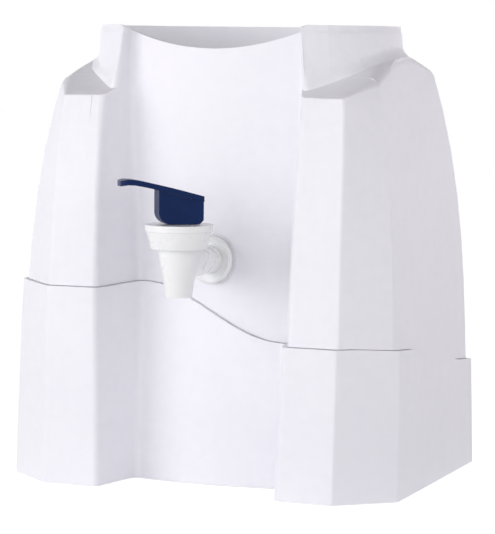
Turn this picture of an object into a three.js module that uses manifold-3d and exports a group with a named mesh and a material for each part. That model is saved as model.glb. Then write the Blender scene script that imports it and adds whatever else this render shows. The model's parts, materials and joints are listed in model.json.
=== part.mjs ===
// Countertop water-jug dispenser: a two-part moulded stand for an upturned jug, with a hanging tank,
// a lift-off bottle seat and a push-lever tap. Millimetres, +Z up, front along -Y,
// origin on the table under the middle of the whole.
import * as THREE from "three";
import { mergeVertices } from "three/addons/utils/BufferGeometryUtils.js";
import Module from "manifold-3d";

const wasm = await Module();
wasm.setup();

// General
const wall = 3; // moulded shells
const fit = 0.3; // between neighbours that touch
const overrun = 12; // how far a cut runs past what it cuts
const skim = 0.05; // keeps a tangent cut just off the face
const leastRound = 0.4;
const weld = 0.0001;

// Main sizes, which the others below follow
const rimHeight = 310;
const upperHalfWidth = 134.9;
const upperHalfDepth = 107;
const tapHeight = 153; // middle of the tap's inlet
const tapReach = 56; // panel to stem axis

// Wavy joint between the casings, as drops and rises from its low point behind the tap
const seamUnderTap = 19;
const seamFallRight = 33;
const seamRiseBack = 16;
const seamFallBackRight = 60;
const seamFrontLeft = tapHeight - seamUnderTap;
const seamFrontRight = seamFrontLeft - seamFallRight;
const seamBackLeft = seamFrontLeft + seamRiseBack;
const seamBackRight = seamFrontLeft - seamFallBackRight;
const seamWaveCentre = 2;
const seamWaveHalfSpan = 48;
const seamSideHalfSpan = 100;

// Upper casing: plan at the low end of its taper, and the taper up to the shoulders
const upperChamferDepth = 25.5;
const upperBackDepth = 109;
const backDraftShare = 0.005;
const taperMargin = 3.5; // under the joint's lowest point
const taperStart = seamBackRight - taperMargin;
const taperTopDrop = 34.5; // from the rim
const taperRise = rimHeight - taperTopDrop - taperStart;
const taperEven = 5.6; // lost evenly over the rise
const taperCurved = 15; // lost with the cube of the rise
const towerInset = 30.9; // outer edge of a tower's front face, from the side
const towerHalfWidth = upperHalfWidth - towerInset;
const towerDrawIn = 4;
const edgeRound = 3;

// Shoulder ledge around the collar, highest a little behind the middle
const ledgeDrop = 19.5; // from the rim
const ledgeHeight = rimHeight - ledgeDrop;
const ledgeCrestDepth = 10;
const ledgeFall = 25.5; // at the distance below, in front of the crest and behind it
const ledgeFallReach = 96;
const shoulderInset = 8.5; // rolled outer edge along the sides
const shoulderDrop = 6.5;
const towerEdgeInset = 2.5; // the same edge over the towers
const towerEdgeDrop = 1.5;

// Collar, its chamfered lip and the scoop in the panel's top
const collarInset = 29.1; // from the casing's side
const collarRadius = upperHalfWidth - collarInset;
const collarFlare = 1.7;
const collarFootRadius = collarRadius + collarFlare;
const collarDrop = 25; // foot, from the rim
const collarFootHeight = rimHeight - collarDrop;
const collarWall = 3.4;
const lipHeight = 5.5;
const lipDrawIn = 2.4;
const lipFlare = 0.3;
const collarEndRound = 3.8;
const scoopDip = 16;
const scoopHalfWidth = 71.5;

// Front recess of the upper casing
const mouthHalfWidth = 68.35;
const mouthDraftShare = 0.0135;
const nicheLowHalfWidth = 56; // at the panel, below
const nicheHighHalfWidth = 63.5; // at the panel, above
const nicheLowHeight = 140;
const nicheHighDrop = 50; // from the rim
const nicheHighHeight = rimHeight - nicheHighDrop;
const panelInset = 42.8; // panel's corners, from the collar's outside
const panelDepth = collarRadius - panelInset;
const panelBulge = 6;
const mouthRound = 4.5;
const nicheRound = 5;

// Base casing
const footProud = 0.8;
const seamStep = 4; // how far the base stands out under the upper casing
const baseSideDraftShare = 0.01;
const baseFrontDraftShare = 0.06;
const baseChamferDepth = 29.5;
const baseMouthHalfWidth = 63.3;
const baseMouthDraftShare = 0.035;
const baseNicheHalfWidth = 54.5;
const baseNicheDraftShare = 0.015;
const basePanelDepth = 72.5;
const basePanelDraftShare = 0.047;
const lipThickness = 2; // locating lip inside the upper casing
const lipRise = 5;

// Pillars in the base, brackets in the upper casing, screws and feet
const pillarInset = 25.9; // from the upper casing's side
const pillarX = upperHalfWidth - pillarInset;
const pillarY = 76;
const pillarRadius = 7;
const pillarBoreRadius = 4.6;
const pillarRise = 8; // above the joint
const pillarCap = 4;
const bracketHeight = 12;
const bracketHalfWidth = 17;
const floorThickness = 3;
const floorReach = 68.9; // inwards from the upper casing's side
const floorInnerX = upperHalfWidth - floorReach;
const floorInnerY = 62;
const screwRadius = 1.6;
const screwHeadRadius = 3.6;
const screwHeadHeight = 2.4;
const screwLength = 14;
const footInset = 47.9; // from the upper casing's side
const footX = upperHalfWidth - footInset;
const footY = 95;
const footRadius = 8;
const footHeight = 2.2;

// Shelf inside the collar and the tank that hangs from it
const shelfDrop = 41; // from the rim
const shelfTop = rimHeight - shelfDrop;
const shelfThickness = 3;
const shelfReach = 6.4;
const tankInset = 21.3; // from the collar's outside
const tankDraft = 4.5;
const tankSump = 19; // floor under the tap's inlet
const tankTopRadius = collarRadius - tankInset;
const tankBottomRadius = tankTopRadius - tankDraft;
const tankBottom = tapHeight - tankSump;
const tankWall = 2.4;
const tankFlangeThickness = 2;
const tankPanelGap = 1;
const tankBottomRound = 8;
const tankRoom = 2; // kept free of the base around the tank

// Bottle seat and its soft ring
const seatHeight = 8;
const seatWall = 2.6;
const seatRimWidth = 9;
const dishDepth = 18;
const neckRadius = 29.5;
const neckLength = 26;
const bottleRingInset = 10.5; // from the tank's mouth
const bottleRingRadius = tankTopRadius - bottleRingInset;
const bottleRingWidth = 9;
const bottleRingThickness = 2.2;

// Tap: heights are from the middle of its inlet
const padRadius = 18;
const padProud = 0.6;
const padThickness = 4.2;
const tankPadRadius = 17;
const tankPadThickness = 3.4;
const shankRadius = 9.5;
const threadRadius = 8;
const inletRadius = 4.5;
const spoutDrop = 20.6;
const spoutRadius = 8.9;
const spoutBoreRadius = 6;
const throatDrop = 9.2;
const throatRadius = 10.3;
const barrelRadius = 13.4;
const barrelShoulder = 7.6;
const valveSeatDrop = 5;
const chamberRadius = 8.6;
const neckThreadRadius = 12.4;
const neckThreadTop = 16;
const sealThickness = 1.5;

// Bonnet
const bonnetTop = 27;
const bonnetBottom = 11.2;
const bonnetLipRadius = 22.3;
const bonnetLipHeight = 4.3;
const bonnetWaistRadius = 21.4;
const bonnetFootRadius = 18.6;
const bonnetWall = 2.2;
const bonnetTopThickness = 3;
const bonnetCoreRadius = 15.4;

// Flange, gaskets, washer and nut on the shank
const flangeRadius = 16.5;
const flangeThickness = 3.4;
const flangeDish = 1.3;
const flangeRimWidth = 2.2;
const gasketThickness = 1.5;
const gasketRadius = 15;
const washerThickness = 1.5;
const nutThickness = 7;
const nutAcrossFlats = 24;
const nutSides = 6;
const threadSpare = 3;

// Valve: stem, plug and spring
const stemRadius = 2.5;
const stemCollarRadius = 6.3;
const stemCollarThickness = 1.5;
const plugRadius = 7.6;
const plugThickness = 3.5;
const plugSocketDepth = 1.6;
const springRadius = 4.8;
const springWireRadius = 0.45;
const springCurls = 7;
const stemHeadLength = 6.4;
const stemHeadWidth = 5;
const stemHeadAbovePin = 4;
const stemHeadBelowPin = 5.6;

// Lever: along its own length from the stem axis, heights from the bonnet's top
const leverSwivelDegrees = 52; // from the front towards the left
const leverPinHeight = 9;
const leverPinRadius = 1.6;
const heelCornerReach = 7; // middle of the rolling corner, in front of the pin
const heelCornerRadius = 8;
const leverBack = 15;
const leverBackBevel = 2.6;
const leverBackHeight = 18.2;
const leverBrowReach = 6;
const leverBrowHeight = 23.7;
const leverCrestReach = 31;
const leverCrestHeight = 29.2;
const leverTipReach = 40.2;
const leverTipHeight = 28.6;
const leverTipThickness = 3.6;
const leverRootHeight = 22;
const leverBlockWidth = 13;
const leverPaddleWidth = 16;
const leverPaddleTipRound = 4;
const leverSlotAbovePin = 6;
const leverSlotBack = 5.6;
const leverSlotFront = 8.6;
const pinCover = 1.5; // closes the pin's bore on one side

// Facets
const roundSteps = 56;
const tankSteps = 36;
const tapSteps = 28;
const hiddenSteps = 20;
const smallSteps = 12;
const edgeSteps = 2;
const cornerSteps = 3;
const panelSteps = 8;
const recessSteps = 4;
const bodySteps = 6;
const baseSteps = 2;
const waveSteps = 10;
const sideSteps = 4;
const chamferSteps = 2;
const ledgeSteps = 8;
const shoulderSteps = 3;
const curlSteps = 7;
const wireSides = 5;

// Solids from three.js geometry
function solid(geometry) {
  geometry.deleteAttribute("normal");
  geometry.deleteAttribute("uv");
  const merged = mergeVertices(geometry, weld);
  const index = merged.index.array;
  const corners = [];
  for (let i = 0; i < index.length; i += 3) {
    const [a, b, c] = [index[i], index[i + 1], index[i + 2]];
    if (a !== b && b !== c && c !== a) corners.push(a, b, c);
  }
  return new wasm.Manifold(
    new wasm.Mesh({
      numProp: 3,
      vertProperties: merged.attributes.position.array,
      triVerts: new Uint32Array(corners),
    }),
  );
}

function piece(name, shape, finish) {
  const mesh = shape.getMesh();
  const geometry = new THREE.BufferGeometry();
  geometry.setAttribute("position", new THREE.BufferAttribute(mesh.vertProperties, 3));
  geometry.setIndex(new THREE.BufferAttribute(mesh.triVerts, 1));
  geometry.computeVertexNormals();
  const made = new THREE.Mesh(geometry, finish);
  made.name = name;
  return made;
}

// Upright turned form; its profile lists radius and height, anticlockwise
function turned(profile, steps) {
  const points = profile.map(([radius, height]) => new THREE.Vector2(radius, height));
  return solid(new THREE.LatheGeometry(points, steps).rotateX(Math.PI / 2));
}

function cylinder(radius, low, high, steps = tapSteps, x = 0, y = 0) {
  const geometry = new THREE.CylinderGeometry(radius, radius, high - low, steps);
  return solid(geometry.rotateX(Math.PI / 2).translate(x, y, (low + high) / 2));
}

// Turned form about a level axis along Y, through x = 0 at the given height
function turnedAlongDepth(profile, steps, height) {
  const points = profile.map(([radius, depth]) => new THREE.Vector2(radius, depth));
  return solid(new THREE.LatheGeometry(points, steps).translate(0, 0, height));
}

function cylinderAlongDepth(radius, front, back, height, steps = tapSteps) {
  const geometry = new THREE.CylinderGeometry(radius, radius, back - front, steps);
  return solid(geometry.translate(0, (front + back) / 2, height));
}

function block(lowX, highX, lowY, highY, lowZ, highZ) {
  const geometry = new THREE.BoxGeometry(highX - lowX, highY - lowY, highZ - lowZ);
  return solid(geometry.translate((lowX + highX) / 2, (lowY + highY) / 2, (lowZ + highZ) / 2));
}

// Upright prism on a plan outline
function prism(outline, low, high) {
  const geometry = new THREE.ExtrudeGeometry(new THREE.Shape(outline), {
    depth: high - low,
    bevelEnabled: false,
  });
  return solid(geometry.translate(0, 0, low));
}

// Level prism on an outline of side view points, its width centred on y = 0
function sidePrism(outline, width) {
  const geometry = new THREE.ExtrudeGeometry(new THREE.Shape(outline), {
    depth: width,
    bevelEnabled: false,
  });
  return solid(geometry.rotateX(Math.PI / 2).translate(0, width / 2, 0));
}

// Grows an anticlockwise outline outwards and rounds the corners that have a round
function roundedOutline(corners, grow) {
  const points = [];
  corners.forEach((corner, i) => {
    const before = corners[(i + corners.length - 1) % corners.length];
    const after = corners[(i + 1) % corners.length];
    const into = new THREE.Vector2(corner.x - before.x, corner.y - before.y).normalize();
    const away = new THREE.Vector2(after.x - corner.x, after.y - corner.y).normalize();
    const turn = Math.atan2(into.cross(away), into.dot(away));
    const shift = grow / (1 + into.dot(away));
    const vertex = new THREE.Vector2(corner.x, corner.y);
    vertex.x += (into.y + away.y) * shift;
    vertex.y -= (into.x + away.x) * shift;
    if (!corner.round) {
      points.push(vertex);
      return;
    }
    const side = Math.sign(turn);
    const radius = Math.max(corner.round + side * grow, leastRound);
    const start = vertex.clone().addScaledVector(into, -radius * Math.tan(Math.abs(turn) / 2));
    const centre = new THREE.Vector2(start.x - into.y * side * radius, start.y + into.x * side * radius);
    const steps = corner.steps ?? cornerSteps;
    for (let step = 0; step <= steps; step++)
      points.push(start.clone().rotateAround(centre, (turn * step) / steps));
  });
  return points;
}

// Joins rings of equal count, the lowest first, into one closed solid; the lids list corners
function skin(rings, lowLid, highLid) {
  const count = rings[0].length;
  const positions = rings.flat().flatMap((point) => point.toArray());
  const indices = [];
  for (let low = 0; low < (rings.length - 1) * count; low += count)
    for (let i = 0; i < count; i++) {
      const next = (i + 1) % count;
      indices.push(low + i, low + next, low + count + next);
      indices.push(low + i, low + count + next, low + count + i);
    }
  const top = (rings.length - 1) * count;
  for (const [a, b, c] of lowLid) indices.push(a, c, b);
  for (const [a, b, c] of highLid) indices.push(top + a, top + b, top + c);
  const geometry = new THREE.BufferGeometry();
  geometry.setAttribute("position", new THREE.Float32BufferAttribute(positions, 3));
  geometry.setIndex(indices);
  return solid(geometry);
}

function levelRing(outline, height) {
  return outline.map((point) => new THREE.Vector3(point.x, point.y, height));
}

// Joins plan outlines given at rising heights
function loft(heights, outlineAt) {
  const rings = heights.map((height) => levelRing(outlineAt(height), height));
  const lid = (ring) => THREE.ShapeUtils.triangulateShape(ring, []);
  return skin(rings, lid(rings[0]), lid(rings.at(-1)));
}

// Lid of a ring whose second half mirrors its first: strips straight across
function stripsAcross(count) {
  const strips = [];
  for (let near = 0; near < count / 2 - 1; near++) {
    const far = count - 1 - near;
    strips.push([near, near + 1, far - 1], [near, far - 1, far]);
  }
  return strips;
}

function evenly(low, high, steps) {
  return Array.from({ length: steps + 1 }, (_, i) => low + ((high - low) * i) / steps);
}

// Casing plan laws by height
function taperLoss(height) {
  const rise = Math.max(height - taperStart, 0) / taperRise;
  return taperEven * rise + taperCurved * rise ** 3;
}

function towerEdge(height) {
  const rise = Math.max(height - taperStart, 0) / taperRise;
  return towerHalfWidth - towerDrawIn * rise ** 4;
}

function casingCorners(halfWidth, sideHalfDepth, frontHalfWidth, frontDepth, backHalfWidth, backDepth) {
  const places = [
    [frontHalfWidth, -frontDepth],
    [halfWidth, -sideHalfDepth],
    [halfWidth, sideHalfDepth],
    [backHalfWidth, backDepth],
    [-backHalfWidth, backDepth],
    [-halfWidth, sideHalfDepth],
    [-halfWidth, -sideHalfDepth],
    [-frontHalfWidth, -frontDepth],
  ];
  return places.map(([x, y]) => ({ x, y, round: edgeRound, steps: edgeSteps }));
}

// Adds points along the chamfers and sides, where the shoulder ledge is curved
function dividedCorners(corners) {
  const parts = [chamferSteps, ledgeSteps, chamferSteps, 1];
  return corners.flatMap((corner, i) => {
    const next = corners[(i + 1) % corners.length];
    const between = evenly(0, 1, parts[i % parts.length]).slice(1, -1);
    const along = between.map((share) => ({
      x: THREE.MathUtils.lerp(corner.x, next.x, share),
      y: THREE.MathUtils.lerp(corner.y, next.y, share),
    }));
    return [corner, ...along];
  });
}

function backAt(height) {
  return upperBackDepth - backDraftShare * (height - taperStart);
}

function upperCorners(height) {
  const loss = taperLoss(height);
  const depth = upperHalfDepth - loss;
  return casingCorners(
    upperHalfWidth - loss,
    depth - upperChamferDepth,
    towerEdge(height),
    depth,
    towerEdge(height) - loss,
    backAt(height),
  );
}

function upperPlan(height, grow) {
  return roundedOutline(dividedCorners(upperCorners(height)), grow);
}

function basePlan(height, grow) {
  const loss = taperLoss(height);
  const below = Math.max(taperStart - height, 0);
  const depth = upperHalfDepth + seamStep - loss + baseFrontDraftShare * below;
  const corners = casingCorners(
    upperHalfWidth + seamStep - loss + baseSideDraftShare * below,
    depth - baseChamferDepth,
    towerEdge(height),
    depth,
    towerEdge(height) - loss,
    backAt(height) + seamStep,
  );
  return roundedOutline(corners, grow);
}

// Plan of the front recess: splayed walls with rounded edges and a bulged panel
function recessPlan(mouthDepth, mouthWidth, nicheWidth, nicheDepth, grow) {
  const front = -mouthDepth - skim;
  const flare = mouthWidth + 2 * mouthRound;
  const away = -(upperHalfDepth + seamStep + 2 * overrun);
  const panel = [];
  for (let step = 1; step < panelSteps; step++) {
    const share = 1 - (2 * step) / panelSteps;
    panel.push({ x: nicheWidth * share, y: -nicheDepth - panelBulge * (1 - share ** 2) });
  }
  const corners = [
    { x: -flare, y: away },
    { x: flare, y: away },
    { x: flare, y: front },
    { x: mouthWidth, y: front, round: mouthRound },
    { x: nicheWidth, y: -nicheDepth, round: nicheRound },
    ...panel,
    { x: -nicheWidth, y: -nicheDepth, round: nicheRound },
    { x: -mouthWidth, y: front, round: mouthRound },
    { x: -flare, y: front },
  ];
  return roundedOutline(corners, grow);
}

function smooth(share) {
  return THREE.MathUtils.smoothstep(share, 0, 1);
}

function upperMouth(height) {
  return mouthHalfWidth + mouthDraftShare * (height - taperStart);
}

function upperNiche(height) {
  const share = (height - nicheLowHeight) / (nicheHighHeight - nicheLowHeight);
  return THREE.MathUtils.lerp(nicheLowHalfWidth, nicheHighHalfWidth, smooth(share));
}

function ledgeAt(y) {
  return ledgeHeight - ledgeFall * ((y - ledgeCrestDepth) / ledgeFallReach) ** 2;
}

const towerTop = ledgeHeight - ledgeFall;
const casingTop = rimHeight + overrun;
const recessHeights = [
  taperStart - overrun,
  ...evenly(nicheLowHeight - overrun, towerTop, recessSteps),
  casingTop,
];

function upperRecess(grow) {
  return loft(recessHeights, (height) => {
    const level = Math.min(height, towerTop);
    const depth = upperHalfDepth - taperLoss(level);
    return recessPlan(depth, upperMouth(level), upperNiche(level), panelDepth, grow);
  });
}

function baseRecess(grow) {
  const heights = [-overrun, ...evenly(taperStart, seamBackLeft + overrun, baseSteps)];
  return loft(heights, (height) => {
    const below = Math.max(taperStart - height, 0);
    const depth = upperHalfDepth - taperLoss(height) + seamStep + baseFrontDraftShare * below;
    const mouth = baseMouthHalfWidth + baseMouthDraftShare * height;
    const niche = baseNicheHalfWidth - baseNicheDraftShare * height;
    return recessPlan(depth, mouth, niche, basePanelDepth - basePanelDraftShare * height, grow);
  });
}

// Ring on the rolled edge between the sides (angle 0) and the shoulder ledge (a right angle)
function shoulderRing(grow, angle) {
  const front = upperHalfDepth - taperLoss(towerTop);
  return upperPlan(towerTop, grow).map((point, i) => {
    const share = THREE.MathUtils.clamp((front - Math.abs(point.y)) / upperChamferDepth, 0, 1);
    const inset = THREE.MathUtils.lerp(towerEdgeInset, shoulderInset, share) * (1 - Math.cos(angle));
    const drop = THREE.MathUtils.lerp(towerEdgeDrop, shoulderDrop, share) * (1 - Math.sin(angle));
    const height = ledgeAt(point.y) + grow - drop;
    const placed = upperPlan(height, grow - inset)[i];
    return new THREE.Vector3(placed.x, placed.y, height);
  });
}

function upperBody(grow) {
  const heights = [taperStart - overrun, ...evenly(taperStart, towerTop - overrun, bodySteps)];
  const rings = heights.map((height) => levelRing(upperPlan(height, grow), height));
  for (const angle of evenly(0, Math.PI / 2, shoulderSteps)) rings.push(shoulderRing(grow, angle));
  const lid = stripsAcross(rings[0].length);
  return skin(rings, lid, lid);
}

// Low part of the upper casing's form, for the locating lip
function lipBody(grow) {
  const heights = [taperStart - overrun, ...evenly(taperStart, seamBackLeft + overrun, baseSteps)];
  return loft(heights, (height) => roundedOutline(upperCorners(height), grow));
}

function baseBody(low, grow) {
  const heights = [low, ...evenly(taperStart, seamBackLeft + overrun, baseSteps)];
  return loft(heights, (height) => basePlan(height, grow));
}

// Height of the joint between the casings
function seamAt(x, y) {
  const back = smooth((y + seamSideHalfSpan) / (2 * seamSideHalfSpan));
  const right = smooth((x - seamWaveCentre + seamWaveHalfSpan) / (2 * seamWaveHalfSpan));
  const leftHeight = THREE.MathUtils.lerp(seamFrontLeft, seamBackLeft, back);
  const rightHeight = THREE.MathUtils.lerp(seamFrontRight, seamBackRight, back);
  return THREE.MathUtils.lerp(leftHeight, rightHeight, right);
}

// Everything under the wavy joint, moved up by rise
function belowSeam(rise) {
  const reach = upperHalfWidth + seamStep + overrun;
  const wave = evenly(seamWaveCentre - seamWaveHalfSpan, seamWaveCentre + seamWaveHalfSpan, waveSteps);
  const across = [-reach, ...wave, reach];
  const along = [-reach, ...evenly(-seamSideHalfSpan, seamSideHalfSpan, sideSteps), reach];
  const floor = -2 * overrun;
  const positions = [];
  for (const y of along) for (const x of across) positions.push(x, y, seamAt(x, y) + rise);
  for (const y of along) for (const x of across) positions.push(x, y, floor);
  const columns = across.length;
  const rows = along.length;
  const under = columns * rows;
  const indices = [];
  const quad = (a, b, c, d) => indices.push(a, b, c, a, c, d);
  for (let row = 0; row < rows - 1; row++)
    for (let column = 0; column < columns - 1; column++) {
      const a = row * columns + column;
      quad(a, a + 1, a + columns + 1, a + columns);
      quad(under + a, under + a + columns, under + a + columns + 1, under + a + 1);
    }
  for (let column = 0; column < columns - 1; column++) {
    const far = (rows - 1) * columns + column;
    quad(under + column, under + column + 1, column + 1, column);
    quad(far, far + 1, under + far + 1, under + far);
  }
  for (let row = 0; row < rows - 1; row++) {
    const left = row * columns;
    const right = left + columns - 1;
    quad(left, left + columns, under + left + columns, under + left);
    quad(right, under + right, under + right + columns, right + columns);
  }
  const geometry = new THREE.BufferGeometry();
  geometry.setAttribute("position", new THREE.Float32BufferAttribute(positions, 3));
  geometry.setIndex(indices);
  return solid(geometry);
}

// Round column of the well inside the collar, flattened by the panel
function wellColumn(radius, grow, low, high) {
  return cylinder(radius, low, high, roundSteps).subtract(upperRecess(grow));
}

function collarColumn() {
  return turned(
    [
      [0, towerTop - 2 * wall],
      [collarFootRadius, towerTop - 2 * wall],
      [collarFootRadius, collarFootHeight],
      [collarRadius, rimHeight - lipHeight],
      [collarRadius - lipDrawIn, rimHeight],
      [0, rimHeight],
    ],
    roundSteps,
  );
}

const wellRadius = collarRadius - collarWall;

function wellOpening() {
  return turned(
    [
      [0, shelfTop],
      [wellRadius, shelfTop],
      [wellRadius, rimHeight - lipHeight],
      [wellRadius + lipFlare, rimHeight],
      [wellRadius + lipFlare, casingTop],
      [0, casingTop],
    ],
    roundSteps,
  ).subtract(upperRecess(wall));
}

// Rounds the collar's end where the recess cuts it; side is 1 on the right and -1 on the left
function collarEndCut(side) {
  const level = towerTop;
  const mouth = new THREE.Vector2(upperMouth(level), -(upperHalfDepth - taperLoss(level)));
  const niche = new THREE.Vector2(upperNiche(level), -panelDepth);
  const along = niche.clone().sub(mouth).normalize();
  const into = new THREE.Vector2(along.y, -along.x); // from the recess into the casing
  const outer = collarFootRadius;
  const start = mouth.clone().addScaledVector(into, collarEndRound);
  const reach = start.dot(along);
  const far = outer - collarEndRound;
  const travel = -reach - Math.sqrt(reach ** 2 - start.lengthSq() + far ** 2);
  const centre = start.clone().addScaledVector(along, travel);
  const inner = centre.clone().addScaledVector(into, -collarEndRound);
  const rim = centre.clone().setLength(outer);
  const turn = inner.clone().sub(centre).angleTo(rim.clone().sub(centre));
  const outline = [];
  for (const angle of evenly(0, turn, 2 * cornerSteps))
    outline.push(inner.clone().rotateAround(centre, angle));
  const corner = inner.clone().addScaledVector(along, -2 * collarEndRound);
  outline.push(rim.clone().multiplyScalar(1 + collarEndRound / outer));
  outline.push(corner);
  outline.push(corner.clone().addScaledVector(into, -collarEndRound));
  outline.push(inner.clone().addScaledVector(into, -collarEndRound));
  const placed = outline.map((point) => new THREE.Vector2(point.x * side, point.y));
  const ordered = THREE.ShapeUtils.isClockWise(placed) ? placed.reverse() : placed;
  return prism(ordered, towerTop - overrun, casingTop);
}

function scoopCut() {
  const outline = [new THREE.Vector2(-scoopHalfWidth, casingTop)];
  for (const x of evenly(-scoopHalfWidth, scoopHalfWidth, 2 * panelSteps))
    outline.push(new THREE.Vector2(x, rimHeight - scoopDip * (1 - (x / scoopHalfWidth) ** 2)));
  outline.push(new THREE.Vector2(scoopHalfWidth, casingTop));
  const depth = panelDepth - wellRadius / 2;
  const front = -panelDepth - panelBulge - overrun;
  const geometry = new THREE.ExtrudeGeometry(new THREE.Shape(outline), {
    depth: depth + overrun,
    bevelEnabled: false,
  });
  return solid(geometry.rotateX(Math.PI / 2).translate(0, front + depth + overrun, 0));
}

const panelFront = -(panelDepth + panelBulge);
const padFront = panelFront - padProud;
const padBack = padFront + padThickness;
const corners = [
  { name: "front_left", x: -1, y: -1 },
  { name: "front_right", x: 1, y: -1 },
  { name: "back_left", x: -1, y: 1 },
  { name: "back_right", x: 1, y: 1 },
];

function pillarTop(corner) {
  return seamAt(corner.x * pillarX, corner.y * pillarY) + pillarRise;
}

function upperShell() {
  const recess = upperRecess(0);
  const column = wellColumn(wellRadius + wall, 0, shelfTop - shelfThickness, casingTop);
  let hollow = upperBody(-wall).subtract(upperRecess(wall)).subtract(column);
  hollow = hollow.subtract(cylinderAlongDepth(padRadius, padFront, padBack, tapHeight));
  for (const corner of corners) {
    const low = pillarTop(corner) + fit;
    const x = corner.x * pillarX;
    const y = corner.y * pillarY;
    const half = bracketHalfWidth;
    const outX = x + corner.x * half;
    const outY = y + corner.y * half;
    const nearX = x - corner.x * (pillarRadius + fit);
    const nearY = y - corner.y * (pillarRadius + fit);
    const bracket = block(
      Math.min(outX, nearX),
      Math.max(outX, nearX),
      Math.min(outY, nearY),
      Math.max(outY, nearY),
      low,
      low + bracketHeight,
    );
    hollow = hollow.subtract(bracket);
  }
  const collar = collarColumn().subtract(collarEndCut(1)).subtract(collarEndCut(-1));
  let shell = upperBody(0).add(collar).subtract(recess);
  shell = shell.add(cylinderAlongDepth(padRadius, padFront, padBack, tapHeight)).subtract(scoopCut());
  shell = shell.subtract(hollow).subtract(wellOpening());
  const hole = wellRadius - shelfReach;
  shell = shell.subtract(wellColumn(hole, wall + fit, shelfTop - overrun, shelfTop + overrun));
  for (const corner of corners) {
    const low = pillarTop(corner) - overrun;
    const high = pillarTop(corner) + screwLength - pillarCap + fit;
    const pilot = screwRadius + fit;
    shell = shell.subtract(
      cylinder(pilot, low, high, smallSteps, corner.x * pillarX, corner.y * pillarY),
    );
  }
  const front = padFront - overrun;
  const bore = threadRadius + fit;
  shell = shell.subtract(cylinderAlongDepth(bore, front, padBack + overrun, tapHeight, hiddenSteps));
  return shell.subtract(belowSeam(fit / 2));
}

// Tank's outer form, grown by clearance
function tankColumn(radiusLoss, low, high, grow) {
  const round = tankBottomRound;
  const bottomRadius = tankBottomRadius - radiusLoss;
  const topRadius = tankTopRadius - radiusLoss;
  const profile = [[0, low]];
  for (const angle of evenly(-Math.PI / 2, 0, cornerSteps)) {
    const radius = bottomRadius - round + round * Math.cos(angle);
    profile.push([radius, low + round + round * Math.sin(angle)]);
  }
  profile.push([topRadius, high]);
  profile.push([0, high]);
  return turned(profile, tankSteps).subtract(upperRecess(grow));
}

function baseShell() {
  let shell = baseBody(footProud, 0).subtract(baseRecess(0)).intersect(belowSeam(-fit / 2));
  const hollow = baseBody(-overrun, -wall).subtract(baseRecess(wall)).intersect(belowSeam(-wall));
  const lipOuter = wall + fit;
  const lipInner = lipOuter + lipThickness;
  const centre = lipBody(-lipInner).subtract(upperRecess(lipInner));
  shell = shell.subtract(hollow).subtract(centre);
  const lip = lipBody(-lipOuter)
    .subtract(upperRecess(lipOuter))
    .subtract(centre)
    .intersect(belowSeam(lipRise))
    .subtract(belowSeam(-wall));
  shell = shell.add(lip);
  const room = tankColumn(-tankRoom, tankBottom - tankRoom, casingTop, wall + tankPanelGap - tankRoom);
  shell = shell.subtract(room);
  for (const corner of corners) {
    const x = corner.x * pillarX;
    const y = corner.y * pillarY;
    const far = upperHalfWidth + overrun;
    const floor = block(
      Math.min(corner.x * floorInnerX, corner.x * far),
      Math.max(corner.x * floorInnerX, corner.x * far),
      Math.min(corner.y * floorInnerY, corner.y * far),
      Math.max(corner.y * floorInnerY, corner.y * far),
      footProud,
      footProud + floorThickness,
    );
    shell = shell.add(floor.intersect(baseBody(-overrun, -wall / 2).subtract(baseRecess(wall / 2))));
    const top = pillarTop(corner);
    shell = shell.add(cylinder(pillarRadius, footProud, top, smallSteps, x, y));
    shell = shell.subtract(cylinder(pillarBoreRadius, -overrun, top - pillarCap, smallSteps, x, y));
    shell = shell.subtract(cylinder(screwRadius + fit, -overrun, top + overrun, smallSteps, x, y));
    const pocket = footHeight + fit;
    const footAtX = corner.x * footX;
    const footAtY = corner.y * footY;
    shell = shell.subtract(
      cylinder(footRadius + fit, -overrun, pocket, smallSteps, footAtX, footAtY),
    );
  }
  return shell;
}

function waterTank() {
  const grow = wall + tankPanelGap;
  const top = shelfTop + fit + tankFlangeThickness;
  let tank = tankColumn(0, tankBottom, top, grow);
  const rim = wellRadius - fit;
  const rimGrow = wall + fit;
  tank = tank.add(wellColumn(rim, rimGrow, shelfTop + fit, top));
  let inside = tankColumn(tankWall, tankBottom + tankWall, casingTop, grow + tankWall);
  const padOut = padBack + fit;
  const pad = cylinderAlongDepth(tankPadRadius, padOut, padOut + tankPadThickness, tapHeight);
  inside = inside.subtract(pad);
  tank = tank.add(pad.intersect(tankColumn(-tankPanelGap, tankBottom, top, wall)));
  tank = tank.subtract(inside);
  tank = tank.subtract(block(
    -tankPadRadius,
    tankPadRadius,
    padOut - overrun,
    padOut,
    tapHeight - padRadius - fit,
    tapHeight + padRadius + fit,
  ));
  const hole = threadRadius + fit;
  const bore = cylinderAlongDepth(hole, padFront, padOut + overrun, tapHeight, hiddenSteps);
  return tank.subtract(bore);
}

// Bottle seat: flat rim, dished floor and neck tube
const seatLow = shelfTop + 2 * fit + tankFlangeThickness;
const seatTop = seatLow + seatHeight;
const seatRadius = wellRadius - fit;
const plugInRadius = tankTopRadius - tankWall - 2 * fit; // part that hangs into the tank
const plugInGrow = wall + tankPanelGap + tankWall + 2 * fit;
const dishFloor = seatTop - dishDepth;
const neckOuterRadius = neckRadius + seatWall;

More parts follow.
